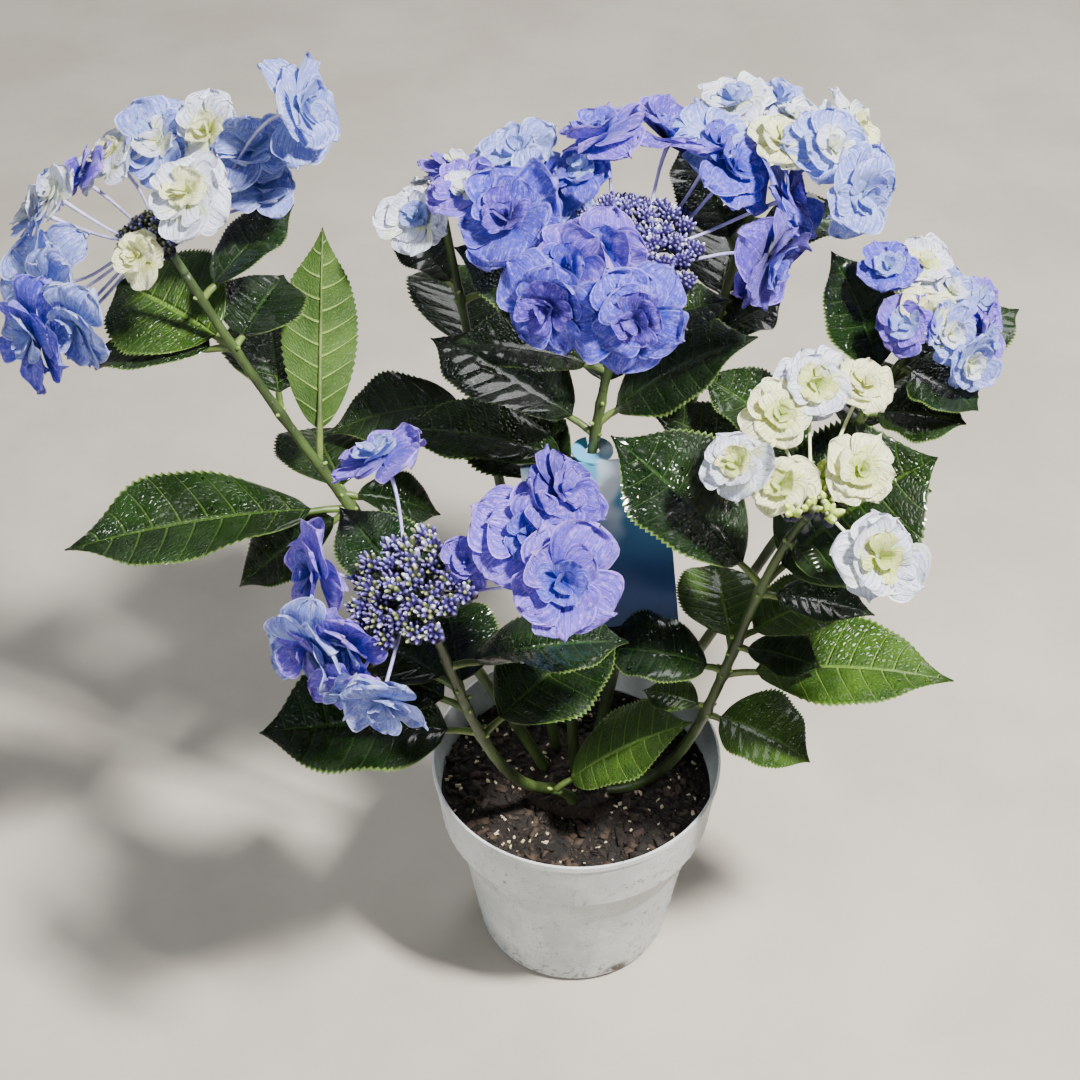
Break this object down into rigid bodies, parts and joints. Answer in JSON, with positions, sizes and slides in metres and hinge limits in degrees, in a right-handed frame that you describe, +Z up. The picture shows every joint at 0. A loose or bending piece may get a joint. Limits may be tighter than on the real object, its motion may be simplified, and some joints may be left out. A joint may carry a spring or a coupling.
{
  "type": "potted hydrangea shrub",
  "caption": "Flowering hydrangea shrub with double lacecap heads and toothed leaves on several stems, in a tapered plastic nursery pot with a blank hanging label card.",
  "frame": {"origin": "centre of the pot's flat underside", "axes": "+Z up; -Y towards the viewer of the picture; +X to the viewer's right"},
  "size_m": [0.4732, 0.31, 0.4899],
  "materials": {
    "pot": "matt pale grey-white polypropylene",
    "soil": "loose dark brown potting mix of bark and peat",
    "bark": "dull brown woody crown",
    "stem": "smooth green young stem",
    "leaf": "glossy dark green leaf",
    "blue_petal": "soft matt periwinkle petal",
    "cream_petal": "soft matt cream petal",
    "card": "semi-gloss printed plastic film, plain blue"
  },
  "bodies": {
    "root": {"pot": "pot", "soil": "soil", "crown": "bark", "label_card": "card", "stem_left": "stem", "foliage_left": "leaf", "head_left": "blue_petal", "stem_centre": "stem", "foliage_centre": "leaf", "head_centre": "blue_petal", "stem_back_right": "stem", "foliage_back_right": "leaf", "head_back_right": "blue_petal", "stem_far_right": "stem", "foliage_far_right": "leaf", "head_far_right": "blue_petal", "stem_right": "stem", "foliage_right": "leaf", "head_right": "cream_petal", "stem_front_left": "stem", "foliage_front_left": "leaf", "head_front_left": "blue_petal", "stem_basal": "stem", "foliage_basal": "leaf", "stem_back_left": "stem", "foliage_back_left": "leaf", "head_back_left": "blue_petal"}
  },
  "joints": []
}
